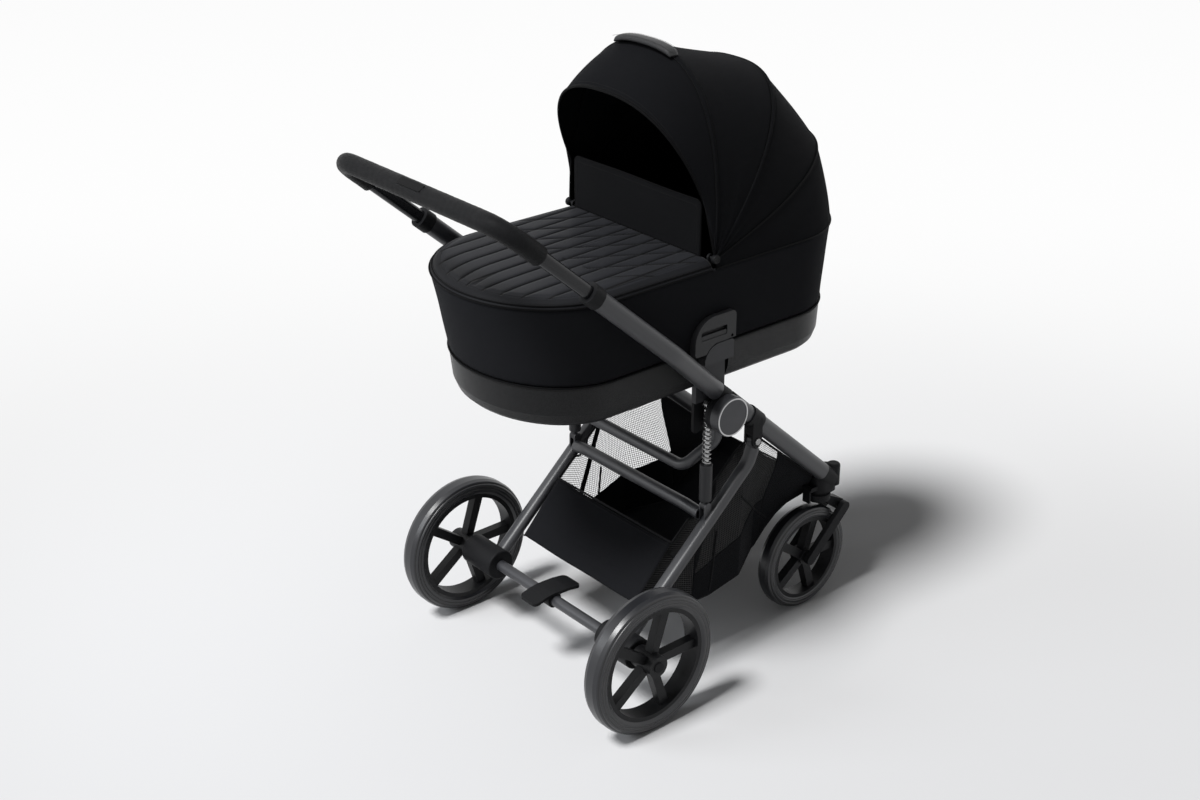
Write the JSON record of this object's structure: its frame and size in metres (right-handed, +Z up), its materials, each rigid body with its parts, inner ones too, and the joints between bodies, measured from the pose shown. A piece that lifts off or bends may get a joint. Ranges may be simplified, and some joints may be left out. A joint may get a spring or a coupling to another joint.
{
  "type": "baby stroller",
  "caption": "Folding pram chassis with telescopic handle, swivel front wheels, basket and lift-off carrycot with tilting hood.",
  "frame": {"origin": "middle of the footprint on the ground, on the plane of symmetry", "axes": "+X towards the front wheels, +Y to the left, +Z up"},
  "size_m": [0.9161, 0.616, 1.1848],
  "materials": {
    "frame_paint": "satin powder coat",
    "inner_tube": "semi-gloss coat",
    "hub_plastic": "fine grain",
    "gloss_cap": "smooth gloss",
    "bright_ring": "polished",
    "leatherette": "smooth grained leatherette",
    "wheel_plastic": "matte moulded",
    "tyre_rubber": "matte rubber",
    "spring_steel": "bright wire",
    "damper_metal": "satin",
    "bolt_steel": "black oxide",
    "hood_cloth": "fine woven canvas",
    "apron_cloth": "grid weave, quilted",
    "band_leatherette": "smooth leatherette band",
    "basket_cloth": "woven cloth with mesh windows",
    "mattress_cloth": "soft knit"
  },
  "bodies": {
    "chassis": {"lower_tubes": "frame_paint", "hub_housings": "hub_plastic", "carrier_bar": "frame_paint", "carrycot_adapters": "hub_plastic", "leg_brackets": "hub_plastic", "strut_brackets": "frame_paint", "swivel_housings": "hub_plastic", "basket": "basket_cloth", "frame_bolts": "bolt_steel"},
    "upper_frame": {"upper_tubes": "frame_paint", "telescope_collars": "hub_plastic", "hub_knuckles": "hub_plastic", "hub_caps": "gloss_cap", "hub_rings": "bright_ring"},
    "handle": {"handle_bar": "inner_tube", "handle_grip": "leatherette"},
    "height_button": {"handle_height_button": "gloss_cap"},
    "fold_trigger": {"fold_button": "gloss_cap"},
    "rear_frame": {"rear_legs": "frame_paint", "rear_crossbar": "frame_paint", "rear_axle_tube": "frame_paint", "axle_housings": "hub_plastic"},
    "pedal": {"brake_pedal": "hub_plastic"},
    "brake_bolt_left": {"brake_pin_left": "bolt_steel"},
    "brake_bolt_right": {"brake_pin_right": "bolt_steel"},
    "strut_upper": {"strut_rods": "spring_steel", "strut_springs": "spring_steel"},
    "strut_lower": {"strut_cylinders": "damper_metal"},
    "rear_wheel_left": {"rear_tyre_left": "tyre_rubber", "rear_rim_left": "wheel_plastic"},
    "rear_wheel_right": {"rear_tyre_right": "tyre_rubber", "rear_rim_right": "wheel_plastic"},
    "wheel_release_left": {"rear_wheel_button_left": "hub_plastic"},
    "wheel_release_right": {"rear_wheel_button_right": "hub_plastic"},
    "fork_left": {"front_fork_left": "hub_plastic"},
    "fork_right": {"front_fork_right": "hub_plastic"},
    "swing_arm_left": {"front_arm_left": "hub_plastic"},
    "swing_arm_right": {"front_arm_right": "hub_plastic"},
    "front_wheel_left": {"front_tyre_left": "tyre_rubber", "front_rim_left": "wheel_plastic"},
    "front_wheel_right": {"front_tyre_right": "tyre_rubber", "front_rim_right": "wheel_plastic"},
    "lock_left": {"swivel_lock_left": "hub_plastic"},
    "lock_right": {"swivel_lock_right": "hub_plastic"},
    "carrycot": {"carrycot_tray": "band_leatherette", "carrycot_body": "hood_cloth", "mattress": "mattress_cloth", "apron": "apron_cloth", "side_brackets": "hub_plastic", "hood_hinges": "hub_plastic", "hood_back_panel": "hood_cloth", "hood_rear_panel": "hood_cloth"},
    "lever_left": {"release_lever_left": "hub_plastic"},
    "lever_right": {"release_lever_right": "hub_plastic"},
    "hood_rear_bow": {"middle_bow": "hub_plastic", "hood_middle_panel": "hood_cloth"},
    "hood_front": {"front_bow": "hub_plastic", "hood_visor_panel": "hood_cloth", "carry_grip": "leatherette"},
    "flap": {"wind_flap": "hood_cloth"}
  },
  "joints": [
    {"name": "handle_fold", "type": "hinge", "parent": "chassis", "child": "upper_frame", "pos_m": [0.0648, 0, 0.537], "axis": [0, -1, 0], "range_deg": [0, 80]},
    {"name": "handle_height", "type": "slide", "parent": "upper_frame", "child": "handle", "axis": [-0.7536, 0, 0.6574], "range_m": [-0.085, 0]},
    {"name": "height_button_press", "type": "slide", "parent": "handle", "child": "height_button", "axis": [0.5, 0, -0.866], "range_m": [0, 0.0015], "stiffness_N_per_m": 2000, "springref_m": -0.001},
    {"name": "fold_button_press", "type": "slide", "parent": "handle", "child": "fold_trigger", "axis": [-0.5, 0, 0.866], "range_m": [0, 0.0015], "stiffness_N_per_m": 2000, "springref_m": -0.001},
    {"name": "rear_suspension", "type": "hinge", "parent": "chassis", "child": "rear_frame", "pos_m": [0.1568, 0, 0.448], "axis": [0, 1, 0], "range_deg": [0, 2.4], "stiffness_Nm_per_rad": 1500, "springref_deg": -1.72},
    {"name": "strut_swing", "type": "hinge", "parent": "chassis", "child": "strut_upper", "pos_m": [0.0443, 0, 0.553], "axis": [0, 1, 0], "range_deg": [0, 1.3]},
    {"name": "strut_slide", "type": "slide", "parent": "strut_upper", "child": "strut_lower", "axis": [0, 0, 1], "range_m": [0, 0.0049], "deforming": ["strut_springs"]},
    {"name": "rear_wheel_left_spin", "type": "hinge", "parent": "rear_frame", "child": "rear_wheel_left", "pos_m": [-0.1702, 0.279, 0.14], "axis": [0, 1, 0], "continuous": true},
    {"name": "rear_wheel_right_spin", "type": "hinge", "parent": "rear_frame", "child": "rear_wheel_right", "pos_m": [-0.1702, -0.279, 0.14], "axis": [0, 1, 0], "continuous": true},
    {"name": "wheel_release_left_press", "type": "slide", "parent": "rear_wheel_left", "child": "wheel_release_left", "axis": [0, -1, 0], "range_m": [0, 0.003], "stiffness_N_per_m": 800, "springref_m": -0.001},
    {"name": "wheel_release_right_press", "type": "slide", "parent": "rear_wheel_right", "child": "wheel_release_right", "axis": [0, 1, 0], "range_m": [0, 0.003], "stiffness_N_per_m": 800, "springref_m": -0.001},
    {"name": "brake_pedal_rock", "type": "hinge", "parent": "rear_frame", "child": "pedal", "pos_m": [-0.1702, 0.012, 0.14], "axis": [0, 1, 0], "range_deg": [0, 18]},
    {"name": "brake_bolt_left_slide", "type": "slide", "parent": "rear_frame", "child": "brake_bolt_left", "axis": [0, 1, 0], "range_m": [0, 0.006]},
    {"name": "brake_bolt_right_slide", "type": "slide", "parent": "rear_frame", "child": "brake_bolt_right", "axis": [0, -1, 0], "range_m": [0, 0.006]},
    {"name": "swivel_left", "type": "hinge", "parent": "chassis", "child": "fork_left", "pos_m": [0.3898, 0.155, 0.242], "axis": [0, 0, 1], "continuous": true},
    {"name": "front_suspension_left", "type": "hinge", "parent": "fork_left", "child": "swing_arm_left", "pos_m": [0.4418, 0.155, 0.2], "axis": [0, 1, 0], "range_deg": [0, 3], "stiffness_Nm_per_rad": 300, "springref_deg": -2.86},
    {"name": "front_wheel_left_spin", "type": "hinge", "parent": "swing_arm_left", "child": "front_wheel_left", "pos_m": [0.3498, 0.155, 0.11], "axis": [0, 1, 0], "continuous": true},
    {"name": "swivel_lock_left_flip", "type": "hinge", "parent": "chassis", "child": "lock_left", "pos_m": [0.3595, 0.155, 0.258], "axis": [0, 1, 0], "range_deg": [0, 30]},
    {"name": "swivel_right", "type": "hinge", "parent": "chassis", "child": "fork_right", "pos_m": [0.3898, -0.155, 0.242], "axis": [0, 0, 1], "continuous": true},
    {"name": "front_suspension_right", "type": "hinge", "parent": "fork_right", "child": "swing_arm_right", "pos_m": [0.4418, -0.155, 0.2], "axis": [0, 1, 0], "range_deg": [0, 3], "stiffness_Nm_per_rad": 300, "springref_deg": -2.86},
    {"name": "front_wheel_right_spin", "type": "hinge", "parent": "swing_arm_right", "child": "front_wheel_right", "pos_m": [0.3498, -0.155, 0.11], "axis": [0, 1, 0], "continuous": true},
    {"name": "swivel_lock_right_flip", "type": "hinge", "parent": "chassis", "child": "lock_right", "pos_m": [0.3595, -0.155, 0.258], "axis": [0, 1, 0], "range_deg": [0, 30]},
    {"name": "carrycot_lift", "type": "slide", "parent": "chassis", "child": "carrycot", "axis": [0, 0, 1], "range_m": [0, 0.25]},
    {"name": "release_lever_left_pull", "type": "slide", "parent": "carrycot", "child": "lever_left", "axis": [0, 0, 1], "range_m": [0, 0.005], "stiffness_N_per_m": 400, "springref_m": -0.001},
    {"name": "release_lever_right_pull", "type": "slide", "parent": "carrycot", "child": "lever_right", "axis": [0, 0, 1], "range_m": [0, 0.005], "stiffness_N_per_m": 400, "springref_m": -0.001},
    {"name": "hood_rear_tilt", "type": "hinge", "parent": "carrycot", "child": "hood_rear_bow", "pos_m": [0.0428, 0, 0.835], "axis": [0, 1, 0], "range_deg": [0, 27], "deforming": ["hood_rear_panel"]},
    {"name": "hood_front_tilt", "type": "hinge", "parent": "hood_rear_bow", "child": "hood_front", "pos_m": [0.0428, 0, 0.835], "axis": [0, 1, 0], "range_deg": [0, 30], "deforming": ["hood_middle_panel"]},
    {"name": "wind_flap_fold", "type": "hinge", "parent": "carrycot", "child": "flap", "pos_m": [0.0338, 0, 0.8366], "axis": [0, -1, 0], "range_deg": [0, 80]}
  ],
  "couplings": [
    {"joint": "strut_swing", "follows": "rear_suspension", "ratio": 0.495},
    {"joint": "strut_slide", "follows": "rear_suspension", "m_per_rad": 0.1125},
    {"joint": "brake_bolt_left_slide", "follows": "brake_pedal_rock", "m_per_rad": 0.019099},
    {"joint": "brake_bolt_right_slide", "follows": "brake_pedal_rock", "m_per_rad": 0.019099},
    {"joint": "hood_front_tilt", "follows": "hood_rear_tilt", "ratio": 1.1111}
  ]
}
